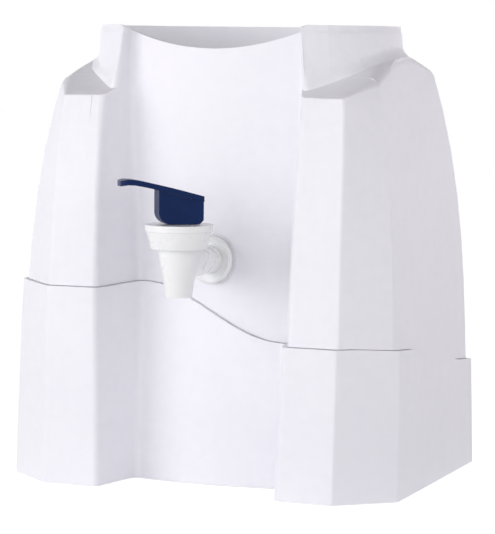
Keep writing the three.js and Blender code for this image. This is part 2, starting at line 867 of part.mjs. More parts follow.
function bottleSeat() {
  const rim = wellColumn(seatRadius, wall + fit, seatLow, seatTop);
  const hanging = turned(
    [
      [0, dishFloor - neckLength],
      [neckOuterRadius, dishFloor - neckLength],
      [neckOuterRadius, dishFloor - seatWall],
      [plugInRadius, seatLow],
      [plugInRadius, seatLow + fit],
      [0, seatLow + fit],
    ],
    roundSteps,
  ).subtract(upperRecess(plugInGrow));
  const dish = turned(
    [
      [0, dishFloor],
      [neckOuterRadius, dishFloor],
      [plugInRadius, seatLow + seatWall],
      [seatRadius - seatRimWidth, seatTop],
      [seatRadius - seatRimWidth, seatTop + overrun],
      [0, seatTop + overrun],
    ],
    roundSteps,
  ).subtract(upperRecess(plugInGrow + seatWall));
  const neck = cylinder(neckRadius, dishFloor - neckLength - overrun, seatTop, roundSteps);
  return rim.add(hanging).subtract(dish).subtract(neck);
}

// Soft ring lying on the dish where the jug's shoulder rests
function bottleRing() {
  const rise = seatLow + seatWall - dishFloor;
  const slope = rise / (plugInRadius - neckOuterRadius);
  const floorAt = (radius) => dishFloor + fit + slope * (radius - neckOuterRadius);
  const near = bottleRingRadius - bottleRingWidth / 2;
  const far = bottleRingRadius + bottleRingWidth / 2;
  const ring = turned(
    [
      [near, floorAt(near)],
      [far, floorAt(far)],
      [far, floorAt(far) + bottleRingThickness],
      [near, floorAt(near) + bottleRingThickness],
      [near, floorAt(near)],
    ],
    roundSteps,
  );
  return ring.subtract(upperRecess(plugInGrow + seatWall + fit));
}

function foot(corner) {
  return cylinder(footRadius, 0, footHeight, smallSteps, corner.x * footX, corner.y * footY);
}

function casingScrew(corner) {
  const x = corner.x * pillarX;
  const y = corner.y * pillarY;
  const headTop = pillarTop(corner) - pillarCap - fit;
  const head = cylinder(screwHeadRadius, headTop - screwHeadHeight, headTop, smallSteps, x, y);
  return head.add(cylinder(screwRadius, headTop - skim, headTop + screwLength, smallSteps, x, y));
}

// Tap pieces in the tap's own frame: stem axis along Z, middle of the inlet at the origin
const stackFront = tapReach - padProud; // panel pad's face
const flangeBack = stackFront - 2 * fit - gasketThickness;
const flangeFront = flangeBack - flangeThickness + flangeDish;
const tankInside = stackFront + padThickness + fit + tankPadThickness;
const washerFront = tankInside + 2 * fit + gasketThickness;
const nutFront = washerFront + washerThickness + fit;
const threadEnd = nutFront + nutThickness + threadSpare;

function tapBody() {
  const barrel = turned(
    [
      [0, -spoutDrop],
      [spoutRadius, -spoutDrop],
      [throatRadius, -throatDrop],
      [barrelRadius, barrelShoulder],
      [barrelRadius, bonnetBottom - fit],
      [neckThreadRadius, bonnetBottom - fit],
      [neckThreadRadius, neckThreadTop],
      [0, neckThreadTop],
    ],
    tapSteps,
  );
  const shank = cylinderAlongDepth(shankRadius, 0, flangeFront - fit, 0);
  const thread = cylinderAlongDepth(threadRadius, 0, threadEnd, 0, hiddenSteps);
  return barrel
    .add(shank)
    .add(thread)
    .subtract(cylinder(chamberRadius, -valveSeatDrop, neckThreadTop + overrun, hiddenSteps))
    .subtract(cylinder(spoutBoreRadius, -spoutDrop - overrun, 0, hiddenSteps))
    .subtract(cylinderAlongDepth(inletRadius, 0, threadEnd + overrun, 0, smallSteps));
}

const sealTop = neckThreadTop + fit + sealThickness;
const springTop = bonnetTop - bonnetTopThickness;

function tapBonnet() {
  const form = turned(
    [
      [0, bonnetBottom],
      [bonnetFootRadius, bonnetBottom],
      [bonnetWaistRadius, bonnetTop - bonnetLipHeight],
      [bonnetLipRadius, bonnetTop - bonnetLipHeight],
      [bonnetLipRadius, bonnetTop],
      [0, bonnetTop],
    ],
    tapSteps,
  );
  const groove = turned(
    [
      [bonnetCoreRadius, bonnetBottom - overrun],
      [bonnetFootRadius - bonnetWall, bonnetBottom - overrun],
      [bonnetFootRadius - bonnetWall, bonnetBottom],
      [bonnetWaistRadius - bonnetWall, springTop],
      [bonnetCoreRadius, springTop],
      [bonnetCoreRadius, bonnetBottom - overrun],
    ],
    tapSteps,
  );
  return form
    .subtract(groove)
    .subtract(cylinder(neckThreadRadius + fit, bonnetBottom - overrun, sealTop + fit))
    .subtract(cylinder(chamberRadius, bonnetBottom, springTop, hiddenSteps))
    .subtract(cylinder(stemRadius + fit, bonnetBottom, bonnetTop + overrun, smallSteps));
}

function bonnetSeal() {
  const ring = cylinder(neckThreadRadius, neckThreadTop + fit, sealTop, hiddenSteps);
  return ring.subtract(cylinder(chamberRadius, neckThreadTop - overrun, sealTop + overrun, hiddenSteps));
}

function ringOnShank(radius, bore, front, thickness, steps) {
  const ring = cylinderAlongDepth(radius, front, front + thickness, 0, steps);
  const back = front + thickness;
  return ring.subtract(cylinderAlongDepth(bore, front - overrun, back + overrun, 0, hiddenSteps));
}

function tapFlange() {
  const bore = threadRadius + fit;
  const hub = shankRadius + flangeRimWidth;
  const front = flangeBack - flangeThickness;
  return turnedAlongDepth(
    [
      [bore, flangeBack],
      [bore, flangeFront],
      [hub, flangeFront],
      [flangeRadius - 2 * flangeRimWidth, flangeFront],
      [flangeRadius - flangeRimWidth, front],
      [flangeRadius, front + flangeDish],
      [flangeRadius, flangeBack],
      [bore, flangeBack],
    ],
    tapSteps,
    0,
  );
}

function shankNut() {
  const corner = nutAcrossFlats / 2 / Math.cos(Math.PI / nutSides);
  return ringOnShank(corner, threadRadius + fit, nutFront, nutThickness, nutSides);
}

// Valve in the tap's frame
const plugLow = -valveSeatDrop + fit;
const stemLow = plugLow + plugThickness - plugSocketDepth + fit;
const stemCollarLow = plugLow + plugThickness + fit;
const springLow = stemCollarLow + stemCollarThickness + fit;
const pinHeight = bonnetTop + fit + leverPinHeight;

function valvePlug() {
  const plug = cylinder(plugRadius, plugLow, plugLow + plugThickness, hiddenSteps);
  const socket = plugLow + plugThickness - plugSocketDepth;
  return plug.subtract(cylinder(stemRadius + fit, socket, stemLow + overrun, smallSteps));
}

function valveStem() {
  const rod = cylinder(stemRadius, stemLow, pinHeight, smallSteps);
  const collarHigh = stemCollarLow + stemCollarThickness;
  const collar = cylinder(stemCollarRadius, stemCollarLow, collarHigh, hiddenSteps);
  const head = block(
    -stemHeadLength / 2,
    stemHeadLength / 2,
    -stemHeadWidth / 2,
    stemHeadWidth / 2,
    pinHeight - stemHeadBelowPin,
    pinHeight + stemHeadAbovePin,
  );
  const hole = cylinderAlongDepth(leverPinRadius + fit, -overrun, overrun, pinHeight, smallSteps);
  return rod.add(collar).add(head).subtract(hole);
}

function leverPin() {
  const half = leverBlockWidth / 2;
  return cylinderAlongDepth(leverPinRadius, -half, half - pinCover, pinHeight, smallSteps);
}

// Closing spring: one wound wire between the stem's collar and the bonnet
function valveSpring() {
  class Winding extends THREE.Curve {
    getPoint(share, target = new THREE.Vector3()) {
      const angle = 2 * Math.PI * springCurls * share;
      const low = springLow + springWireRadius;
      const high = springTop - fit - springWireRadius;
      const height = THREE.MathUtils.lerp(low, high, share);
      return target.set(springRadius * Math.cos(angle), springRadius * Math.sin(angle), height);
    }
  }
  const middle = new THREE.Vector2();
  const edge = new THREE.Vector2(springWireRadius, 0);
  const section = evenly(0, 2 * Math.PI, wireSides)
    .slice(1)
    .map((angle) => edge.clone().rotateAround(middle, angle));
  const geometry = new THREE.ExtrudeGeometry(new THREE.Shape(section), {
    steps: curlSteps * springCurls,
    bevelEnabled: false,
    extrudePath: new Winding(),
  });
  return solid(geometry);
}

// Lever from its side view, in its own frame: length along X, heights from the bonnet's top
function leverBlockOutline() {
  const outline = new THREE.Shape();
  const heelFront = heelCornerReach + heelCornerRadius;
  outline.moveTo(-leverBack + leverBackBevel, 0);
  outline.lineTo(heelCornerReach, 0);
  outline.absarc(heelCornerReach, heelCornerRadius, heelCornerRadius, -Math.PI / 2, 0, false);
  outline.lineTo(heelFront, leverRootHeight);
  outline.lineTo(heelFront, leverRootHeight + leverTipThickness / 2);
  outline.lineTo(leverBrowReach, leverBrowHeight - leverTipThickness / 2);
  outline.lineTo(-leverBack, leverBackHeight - leverTipThickness / 2);
  outline.lineTo(-leverBack, leverBackBevel);
  return outline.getPoints(2 * cornerSteps);
}

function leverPaddleOutline() {
  const top = new THREE.SplineCurve([
    new THREE.Vector2(leverTipReach, leverTipHeight),
    new THREE.Vector2(leverCrestReach, leverCrestHeight),
    new THREE.Vector2(leverBrowReach, leverBrowHeight),
    new THREE.Vector2(-leverBack, leverBackHeight),
  ]).getPoints(3 * cornerSteps);
  const underside = top
    .map((point) => new THREE.Vector2(point.x, point.y - leverTipThickness))
    .reverse();
  return [...top, ...underside];
}

function leverPaddlePlan() {
  const half = leverPaddleWidth / 2;
  const corners = [
    { x: -leverBack - overrun, y: -half },
    { x: leverTipReach, y: -half, round: leverPaddleTipRound },
    { x: leverTipReach, y: half, round: leverPaddleTipRound },
    { x: -leverBack - overrun, y: half },
  ];
  return prism(roundedOutline(corners, 0), -overrun, leverCrestHeight + overrun);
}

function tapLever() {
  const paddle = sidePrism(leverPaddleOutline(), leverPaddleWidth).intersect(leverPaddlePlan());
  const slotHalf = stemHeadWidth / 2 + fit;
  const slotTop = leverPinHeight + leverSlotAbovePin;
  const slot = block(-leverSlotBack, leverSlotFront, -slotHalf, slotHalf, -overrun, slotTop);
  const blind = leverBlockWidth / 2 - pinCover + fit;
  const bore = cylinderAlongDepth(leverPinRadius + fit, -overrun, blind, leverPinHeight, smallSteps);
  return sidePrism(leverBlockOutline(), leverBlockWidth).add(paddle).subtract(slot).subtract(bore);
}

// Finishes
function plastic(colour, roughness) {
  return new THREE.MeshStandardMaterial({ color: colour, roughness, metalness: 0 });
}

function steel(colour, roughness) {
  return new THREE.MeshStandardMaterial({ color: colour, roughness, metalness: 1 });
}

function whitePlastic() {
  return plastic(0xf1f0f5, 0.42);
}

function tapWhite() {
  return plastic(0xf7f7f8, 0.3);
}

function navyPlastic() {
  return plastic(0x19305c, 0.25);
}

function softRubber() {
  return plastic(0xc9c9c6, 0.75);
}

// Assembly
const dispenser = new THREE.Group();
dispenser.add(
  piece("upper_shell", upperShell(), whitePlastic()),
  piece("base_shell", baseShell(), whitePlastic()),
  piece("water_tank", waterTank(), plastic(0xe9eaec, 0.5)),
  piece("bottle_seat", bottleSeat(), whitePlastic()),
  piece("bottle_ring", bottleRing(), softRubber()),
);
for (const corner of corners) {
  dispenser.add(piece(`foot_${corner.name}`, foot(corner), plastic(0x3a3a3c, 0.8)));
  dispenser.add(piece(`casing_screw_${corner.name}`, casingScrew(corner), steel(0xb9bbbf, 0.35)));
}

const tap = new THREE.Group();
tap.position.set(0, panelFront - tapReach, tapHeight);
tap.add(
  piece("tap_body", tapBody(), tapWhite()),
  piece("tap_bonnet", tapBonnet(), tapWhite()),
  piece("bonnet_seal", bonnetSeal(), softRubber()),
  piece("tap_flange", tapFlange(), tapWhite()),
  piece(
    "front_gasket",
    ringOnShank(gasketRadius, threadRadius + fit, flangeBack + fit, gasketThickness, hiddenSteps),
    softRubber(),
  ),
  piece(
    "tank_gasket",
    ringOnShank(gasketRadius, threadRadius + fit, tankInside + fit, gasketThickness, hiddenSteps),
    softRubber(),
  ),
  piece(
    "backing_washer",
    ringOnShank(gasketRadius, threadRadius + fit, washerFront, washerThickness, hiddenSteps),
    tapWhite(),
  ),
  piece("shank_nut", shankNut(), tapWhite()),
  piece("valve_plug", valvePlug(), softRubber()),
  piece("valve_spring", valveSpring(), steel(0xc4c6c9, 0.3)),
);
dispenser.add(tap);

const swivel = new THREE.Group();
swivel.rotation.z = -THREE.MathUtils.degToRad(90 + leverSwivelDegrees);
swivel.add(piece("valve_stem", valveStem(), tapWhite()), piece("lever_pin", leverPin(), navyPlastic()));
tap.add(swivel);

const lever = piece("tap_lever", tapLever(), navyPlastic());
lever.position.z = bonnetTop + fit;
swivel.add(lever);

// The origin lies under the middle of the whole, tap included
dispenser.updateMatrixWorld(true);
const extent = new THREE.Box3().setFromObject(dispenser, true);
dispenser.position.x = -(extent.min.x + extent.max.x) / 2;
dispenser.position.y = -(extent.min.y + extent.max.y) / 2;

export default dispenser;
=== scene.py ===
import json
import math

import bmesh
import bpy
from mathutils import Matrix, Vector


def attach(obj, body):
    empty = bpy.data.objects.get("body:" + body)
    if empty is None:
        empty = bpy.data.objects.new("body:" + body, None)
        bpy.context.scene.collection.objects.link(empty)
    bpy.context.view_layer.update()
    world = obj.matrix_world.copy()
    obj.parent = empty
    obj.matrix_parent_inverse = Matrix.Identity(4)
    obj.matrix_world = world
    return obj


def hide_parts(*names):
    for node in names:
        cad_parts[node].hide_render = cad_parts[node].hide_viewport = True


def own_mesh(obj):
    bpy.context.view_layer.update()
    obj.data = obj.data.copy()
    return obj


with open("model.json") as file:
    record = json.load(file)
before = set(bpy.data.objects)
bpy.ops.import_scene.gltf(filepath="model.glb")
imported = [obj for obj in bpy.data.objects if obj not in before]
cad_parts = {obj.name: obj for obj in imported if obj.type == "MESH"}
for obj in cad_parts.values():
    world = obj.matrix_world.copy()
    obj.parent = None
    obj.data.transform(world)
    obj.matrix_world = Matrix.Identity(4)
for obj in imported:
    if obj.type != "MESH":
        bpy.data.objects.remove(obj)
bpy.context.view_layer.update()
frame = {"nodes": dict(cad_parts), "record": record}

# Lengths are in metres, apart from those that say mm
MM = 0.001
WELD = 0.00001
SHARP_ANGLE = math.radians(32)

# Axis of the collar, which stands upright over the middle line, as does the tap's stem
COLLAR_AXIS_Y = 0.020526

scene = bpy.context.scene
nodes = frame["nodes"]
slots = {row["node"]: row["material_slot"] for row in frame["record"]["subparts"]}


# Colours are written as they look on a screen
SCREEN_LEVELS = 255
SCREEN_KNEE = 0.04045
SCREEN_SLOPE = 12.92
SCREEN_LIFT = 0.055
SCREEN_POWER = 2.4


def linear(value):
    value /= SCREEN_LEVELS
    if value <= SCREEN_KNEE:
        return value / SCREEN_SLOPE
    return ((value + SCREEN_LIFT) / (1 + SCREEN_LIFT)) ** SCREEN_POWER


def colour(red, green, blue):
    return (linear(red), linear(green), linear(blue), 1.0)


WHITE = colour(255, 255, 255)


# Node trees
class Tree:
    """Adds nodes to a material or a world, and links them by socket."""

    def __init__(self, owner):
        owner.use_nodes = True
        self.tree = owner.node_tree
        self.tree.nodes.clear()

    def add(self, kind, settings=None, **sockets):
        node = self.tree.nodes.new(kind)
        for name, value in (settings or {}).items():
            setattr(node, name, value)
        for name, value in sockets.items():
            self.put(node.inputs[name.replace("_", " ")], value)
        return node

    def put(self, socket, value):
        if isinstance(value, bpy.types.NodeSocket):
            self.tree.links.new(value, socket)
        else:
            socket.default_value = value

    def math(self, operation, a, b):
        node = self.add("ShaderNodeMath", {"operation": operation})
        self.put(node.inputs[0], a)
        self.put(node.inputs[1], b)
        return node.outputs[0]

    def ramp(self, value, low, high):
        node = self.add("ShaderNodeMapRange", {"interpolation_type": "SMOOTHSTEP"})
        for socket, number in zip(node.inputs, (value, low, high)):
            self.put(socket, number)
        return node.outputs[0]

    def noise(self, place, scale, detail, roughness=0.5):
        node = self.add("ShaderNodeTexNoise", Vector=place, Scale=scale, Detail=detail)
        node.inputs["Roughness"].default_value = roughness
        return node.outputs["Fac"]

    def mix(self, share, a, b):
        node = self.add("ShaderNodeMix", {"data_type": "RGBA"})
        for socket, value in zip((node.inputs[0], node.inputs[6], node.inputs[7]), (share, a, b)):
            self.put(socket, value)
        return node.outputs[2]

    def bump(self, height, distance, strength, normal=None):
        node = self.add("ShaderNodeBump", Height=height, Distance=distance, Strength=strength)
        if normal is not None:
            self.put(node.inputs["Normal"], normal)
        return node.outputs[0]

    def place(self):
        return self.add("ShaderNodeTexCoord").outputs["Object"]

    def principled(self, base, rough, normal, **sockets):
        shader = self.add(
            "ShaderNodeBsdfPrincipled", Base_Color=base, Roughness=rough, Normal=normal, **sockets
        )
        self.add("ShaderNodeOutputMaterial", Surface=shader.outputs[0])


# Finishes: each noise has its scale per metre, its detail and, where it isn't 0.5, its roughness;
# each range is where a ramp starts and ends; each bump has its depth in mm and its strength
CLOUD_NOISE = (11.0, 3.0)
CLOUD_SHARE = 0.6
CLOUD_BUMP = (0.25 * MM, 0.35)
MOTTLE_NOISE = (140.0, 2.0)
MOTTLE_SHARE = 0.4
SPECK_DETAIL = 1.0
SPECK_STRENGTH = 0.7
PEEL_NOISE = (260.0, 2.0)
PEEL_STRENGTH = 0.6
TINT_RANGE = (0.3, 0.7)
EDGE_REACH = 1.2 * MM
EDGE_SAMPLES = 4
EDGE_RANGE = (0.99, 0.86)
RUB_NOISE = (60.0, 4.0, 0.7)
RUB_RANGE = (0.42, 0.62)
RUB_COLOUR = colour(196, 196, 200)
SCUFF_NOISE = (38.0, 6.0, 0.72)
SCUFF_RANGE = (0.56, 0.74)
ROUGH_DROP = 0.03
ROUGH_MOTTLE = 0.06
ROUGH_SCUFF = 0.07
ROUGH_EDGE = 0.08
COAT_ROUGHNESS = 0.12

DUST_NOISE = (210.0, 5.0, 0.65)
DUST_RANGE = (0.38, 0.68)
DUST_BUMP = (0.1 * MM, 0.4)
PORE_NOISE = (1600.0, 2.0)
PORE_BUMP = (0.06 * MM, 0.6)
RUBBER_ROUGHNESS = 0.66
RUBBER_ROUGH_DUST = 0.18
RUBBER_SPECULAR = 0.3

LINE_NOISE = (900.0, 3.0)
LINE_BUMP = (0.03 * MM, 0.5)
STAIN_NOISE = (240.0, 4.0)
STAIN_RANGE = (0.4, 0.7)
STEEL_ROUGHNESS = 0.24
STEEL_ROUGH_LINES = 0.2


def edge_mask(tree):
    """1 near the sharp edges, 0 on flat faces."""
    bevel = tree.add("ShaderNodeBevel", {"samples": EDGE_SAMPLES}, Radius=EDGE_REACH)
    geometry = tree.add("ShaderNodeNewGeometry")
    dot = tree.add("ShaderNodeVectorMath", {"operation": "DOT_PRODUCT"})
    tree.put(dot.inputs[0], bevel.outputs[0])
    tree.put(dot.inputs[1], geometry.outputs["Normal"])
    return tree.ramp(dot.outputs["Value"], *EDGE_RANGE)


def plastic(
    name, base, shade, roughness, grain, grain_size, peel, specular=0.5, coat=0.0, wear=0.04
):
    """Moulded plastic: fine spark grain, orange peel, faint mottling and polished edges.
    Grain, grain_size and peel are in mm."""
    material = bpy.data.materials.new(name)
    tree = Tree(material)
    place = tree.place()
    cloud = tree.noise(place, *CLOUD_NOISE)
    mottle = tree.noise(place, *MOTTLE_NOISE)
    speck = tree.noise(place, 1 / (grain_size * MM), SPECK_DETAIL)
    clouded = tree.math("MULTIPLY", cloud, CLOUD_SHARE)
    tint = tree.math("ADD", clouded, tree.math("MULTIPLY", mottle, MOTTLE_SHARE))
    tinted = tree.mix(tree.ramp(tint, *TINT_RANGE), base, shade)
    edges = edge_mask(tree)
    rub = tree.math("MULTIPLY", edges, tree.ramp(tree.noise(place, *RUB_NOISE), *RUB_RANGE))
    worn = tree.mix(tree.math("MULTIPLY", rub, wear), tinted, RUB_COLOUR)
    scuff = tree.ramp(tree.noise(place, *SCUFF_NOISE), *SCUFF_RANGE)
    mottled = tree.math("MULTIPLY", mottle, ROUGH_MOTTLE)
    rough = tree.math("ADD", roughness - ROUGH_DROP, mottled)
    rough = tree.math("ADD", rough, tree.math("MULTIPLY", scuff, ROUGH_SCUFF))
    rough = tree.math("SUBTRACT", rough, tree.math("MULTIPLY", edges, ROUGH_EDGE))
    normal = tree.bump(cloud, *CLOUD_BUMP)
    normal = tree.bump(tree.noise(place, *PEEL_NOISE), peel * MM, PEEL_STRENGTH, normal)
    normal = tree.bump(speck, grain * MM, SPECK_STRENGTH, normal)
    tree.principled(
        worn, rough, normal,
        Specular_IOR_Level=specular, Coat_Weight=coat, Coat_Roughness=COAT_ROUGHNESS,
    )
    return material


def rubber(name, base, shade):
    """Soft rubber: matt, dusty, with a fine cast pore."""
    material = bpy.data.materials.new(name)
    tree = Tree(material)
    place = tree.place()
    dust = tree.noise(place, *DUST_NOISE)
    pore = tree.noise(place, *PORE_NOISE)
    tinted = tree.mix(tree.ramp(dust, *DUST_RANGE), base, shade)
    rough = tree.math("ADD", RUBBER_ROUGHNESS, tree.math("MULTIPLY", dust, RUBBER_ROUGH_DUST))
    normal = tree.bump(pore, *PORE_BUMP, tree.bump(dust, *DUST_BUMP))
    tree.principled(tinted, rough, normal, Specular_IOR_Level=RUBBER_SPECULAR)
    return material


def steel(name, base, shade, stretch):
    """Drawn or turned steel: fine lines along one way, small stains."""
    material = bpy.data.materials.new(name)
    tree = Tree(material)
    place = tree.place()
    mapping = tree.add("ShaderNodeMapping", Vector=place, Scale=stretch)
    lines = tree.noise(mapping.outputs[0], *LINE_NOISE)
    stain = tree.noise(place, *STAIN_NOISE)
    tinted = tree.mix(tree.ramp(stain, *STAIN_RANGE), base, shade)
    rough = tree.math("ADD", STEEL_ROUGHNESS, tree.math("MULTIPLY", lines, STEEL_ROUGH_LINES))
    tree.principled(tinted, rough, tree.bump(lines, *LINE_BUMP), Metallic=1.0)
    return material


MATERIALS = {
    "casing_plastic": plastic(
        "casing_plastic", colour(244, 243, 248), colour(240, 239, 245),
        roughness=0.42, grain=0.02, grain_size=0.55, peel=0.03,
    ),
    "tank_plastic": plastic(
        "tank_plastic", colour(232, 234, 237), colour(225, 228, 232),
        roughness=0.5, grain=0.03, grain_size=0.7, peel=0.05,
    ),
    "tap_plastic": plastic(
        "tap_plastic", colour(245, 246, 246), colour(241, 242, 242),
        roughness=0.28, grain=0.008, grain_size=0.4, peel=0.02, coat=0.1, wear=0.0,
    ),
    "lever_plastic": plastic(
        "lever_plastic", colour(17, 42, 90), colour(14, 37, 82),
        roughness=0.3, grain=0.008, grain_size=0.45, peel=0.02, specular=0.1, wear=0.05,
    ),
    "soft_ring": rubber("soft_ring", colour(206, 206, 203), colour(190, 190, 187)),
    "foot_rubber": rubber("foot_rubber", colour(58, 58, 60), colour(74, 73, 72)),
    "screw_steel": steel("screw_steel", colour(190, 192, 196), colour(168, 168, 170), (1, 1, 6)),
    "spring_steel": steel("spring_steel", colour(200, 202, 205), colour(182, 183, 185), (4, 4, 1)),
}


def stand_in(node, name, body, mesh):
    """A piece that is shown in the node's place, with its finish."""
    piece = bpy.data.objects.new(name, mesh)
    scene.collection.objects.link(piece)
    piece.matrix_world = nodes[node].matrix_world.copy()
    mesh.materials.clear()
    mesh.materials.append(MATERIALS[slots[node]])
    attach(piece, body)
    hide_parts(node)
    return piece


# Collar of the upper casing, shaped finer than its solid, with radii from the collar's axis and
# turns from the front
COLLAR_OUTSIDE = 0.1040
COLLAR_FOOT = 0.262
LEDGE_HEIGHT = 0.2905
LEDGE_CREST = 0.010
LEDGE_FALL = 0.0255
LEDGE_REACH = 0.096
LEDGE_SETTLE = 0.0013
LEDGE_BAND = 3 * LEDGE_SETTLE

# The outer wall is drawn in above the ledge
DRAW = 0.0012
DRAW_FADE = (0.0025, 0.0075)

# The front ends turn in towards the recess
NOSE_PULL = 0.0068
NOSE_FADE = (0.254, 0.297)
NOSE_START = math.radians(68)
NOSE_MOUTH = math.radians(43)
NOSE_REACH = (0.088, 0.099)

# The wall's foot flares out onto the ledge
FLARE = 0.0034
FLARE_RISE = 0.0062
FLARE_REACH = (0.1078, 0.1125)
FLARE_TURN = (math.radians(47), math.radians(66))

# Small step across the ledge
STEP_PLACE = -0.05867
STEP_RISE = 0.00027
STEP_REACH = 0.013

# Faces of the upright wall that are split, and how finely
WALL_REACH = (0.095, 0.1085)
WALL_START = math.radians(46)
WALL_BACK = 0.11
UPRIGHT = 0.5
SPLIT_LOW = 0.268
SPLIT_HIGH = 0.3065
SPLIT_LEVELS = 20
SPLIT_TURNS = 40


def clamped(value):
    return min(max(value, 0.0), 1.0)


def smooth(value, low, high):
    share = clamped((value - low) / (high - low))
    return share * share * (3 - 2 * share)


def ledge_at(y):
    return LEDGE_HEIGHT - LEDGE_FALL * ((y - LEDGE_CREST) / LEDGE_REACH) ** 2


def drawn_in(x, y, z):
    """Where a point of the collar goes: its wall is finer and its front ends turn in."""
    radius = math.hypot(x, y)
    if radius < NOSE_REACH[0] or z < COLLAR_FOOT:
        return x, y
    turn = abs(math.atan2(x, -y))
    bend = clamped((NOSE_START - turn) / (NOSE_START - NOSE_MOUTH)) ** 2
    shift = NOSE_PULL * bend * smooth(z, *NOSE_FADE) * smooth(radius, *NOSE_REACH)
    if radius > COLLAR_OUTSIDE:
        height = z - ledge_at(y) + LEDGE_SETTLE
        shift += DRAW * smooth(height, *DRAW_FADE)
        rise = clamped(height / FLARE_RISE)
        flare = FLARE * (1 - rise) ** 2 * smooth(height, -LEDGE_SETTLE, 0.0)
        shift -= flare * (1 - smooth(radius, *FLARE_REACH)) * smooth(turn, *FLARE_TURN)
    scale = (radius - shift) / radius
    return x * scale, y * scale


def settled(x, y, z):
    """Takes out the small step across the ledge, where the chamfer's corner meets it."""
    away = y - STEP_PLACE
    near = max(1 - abs(away) / STEP_REACH, 0.0)
    on_ledge = math.hypot(x, y) > NOSE_REACH[0] and abs(z - ledge_at(y)) < LEDGE_BAND
    return z - math.copysign(STEP_RISE * near, away) if on_ledge else z


def on_wall(face):
    """True on the collar's upright walls, apart from their ends at the recess."""
    place = face.calc_center_median()
    radius = math.hypot(place.x, place.y - COLLAR_AXIS_Y)
    turn = abs(math.atan2(place.x, COLLAR_AXIS_Y - place.y))
    upright = abs(face.normal.z) < UPRIGHT
    around = WALL_REACH[0] < radius < WALL_REACH[1] and turn > WALL_START
    return upright and around and place.z > COLLAR_FOOT and place.y < WALL_BACK


def split(shape, point, normal):
    faces = [face for face in shape.faces if on_wall(face)]
    edges = {edge for face in faces for edge in face.edges}
    corners = {corner for face in faces for corner in face.verts}
    bmesh.ops.bisect_plane(
        shape, geom=[*corners, *edges, *faces], plane_co=point, plane_no=normal, dist=WELD
    )


def finer_collar(node, name):
    """A copy of the node's mesh with its collar drawn in and settled."""
    shape = bmesh.new()
    shape.from_mesh(nodes[node].data)
    bmesh.ops.remove_doubles(shape, verts=shape.verts, dist=WELD)
    shape.normal_update()
    for level in range(SPLIT_LEVELS + 1):
        height = SPLIT_LOW + (SPLIT_HIGH - SPLIT_LOW) * level / SPLIT_LEVELS
        split(shape, (0, 0, height), (0, 0, 1))
    for index in range(SPLIT_TURNS):
        turn = math.pi * (index + 0.5) / SPLIT_TURNS
        split(shape, (0, COLLAR_AXIS_Y, 0), (math.cos(turn), math.sin(turn), 0))
    for corner in shape.verts:
        x, y, z = corner.co
        y -= COLLAR_AXIS_Y
        z = settled(x, y, z)
        x, y = drawn_in(x, y, z)
        corner.co = (x, y + COLLAR_AXIS_Y, z)
    mesh = bpy.data.meshes.new(name)
    shape.to_mesh(mesh)
    shape.free()
    return mesh


# Real rounds on the edges, in mm, with shading weighted to the flat faces
EDGE_ROUNDS = {
    "upper_shell": 0.8,
    "base_shell": 1.0,
    "water_tank": 0.5,
    "bottle_seat": 0.6,
    "tap_lever": 0.55,
    "tap_bonnet": 0.5,
    "tap_body": 0.4,
    "tap_flange": 0.5,
}
LEAST_ROUND = 0.12
ROUND_SEGMENTS = 3
FLAT_ANGLE = math.radians(0.4)


def joined_corners():
    """Joins the split corners, so that the later modifiers see whole edges."""
    tree = bpy.data.node_groups.new("joined_corners", "GeometryNodeTree")
    tree.interface.new_socket("Geometry", in_out="INPUT", socket_type="NodeSocketGeometry")
    tree.interface.new_socket("Geometry", in_out="OUTPUT", socket_type="NodeSocketGeometry")
    start = tree.nodes.new("NodeGroupInput")
    end = tree.nodes.new("NodeGroupOutput")
    drop = tree.nodes.new("GeometryNodeRemoveAttribute")
    drop.inputs["Name"].default_value = "custom_normal"
    merge = tree.nodes.new("GeometryNodeMergeByDistance")
    merge.inputs["Distance"].default_value = WELD
    rounded = tree.nodes.new("GeometryNodeSetShadeSmooth")
    rounded.domain = "FACE"
    tree.links.new(start.outputs[0], drop.inputs["Geometry"])
    tree.links.new(drop.outputs[0], merge.inputs["Geometry"])
    tree.links.new(merge.outputs[0], rounded.inputs["Geometry"])
    tree.links.new(rounded.outputs[0], end.inputs[0])
    return tree


def dress(piece, width):
    piece.modifiers.new("joined", "NODES").node_group = joined
    flats = piece.modifiers.new("flats", "DECIMATE")
    flats.decimate_type = "DISSOLVE"
    flats.angle_limit = FLAT_ANGLE
    rounds = piece.modifiers.new("rounds", "BEVEL")
    rounds.width = width * MM
    rounds.segments = ROUND_SEGMENTS
    rounds.limit_method = "ANGLE"
    rounds.angle_limit = SHARP_ANGLE
    rounds.miter_outer = "MITER_ARC"
    weighted = piece.modifiers.new("weighted", "WEIGHTED_NORMAL")
    weighted.mode = "FACE_AREA_WITH_ANGLE"


joined = joined_corners()
for name, piece in nodes.items():
    piece.data.materials.clear()
    piece.data.materials.append(MATERIALS[slots[name]])
    dress(piece, EDGE_ROUNDS.get(name, LEAST_ROUND))

collar_mesh = finer_collar("upper_shell", "upper_casing")
collar_piece = stand_in("upper_shell", "upper_casing", "casing", collar_mesh)
dress(collar_piece, EDGE_ROUNDS["upper_shell"])


spring_mesh = nodes["valve_spring"].data.copy()
spring_piece = stand_in("valve_spring", "closing_spring", "casing", spring_mesh)
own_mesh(spring_piece)


# Camera: it stood around the collar's axis, and its lens is worked out from the photograph's height
PHOTO_HEIGHT = 534
FOCAL_PIXELS = 2400.0
SENSOR = 36.0
CLIP_START = 0.05
CLIP_END = 20.0
CAMERA_AZIMUTH = math.radians(21.64)
CAMERA_DISTANCE = 1.6742
CAMERA_HEIGHT = 0.2957
CAMERA_ROLL = math.radians(0.458)
AIM_ACROSS = -0.00134
AIM_HEIGHT = 0.14175

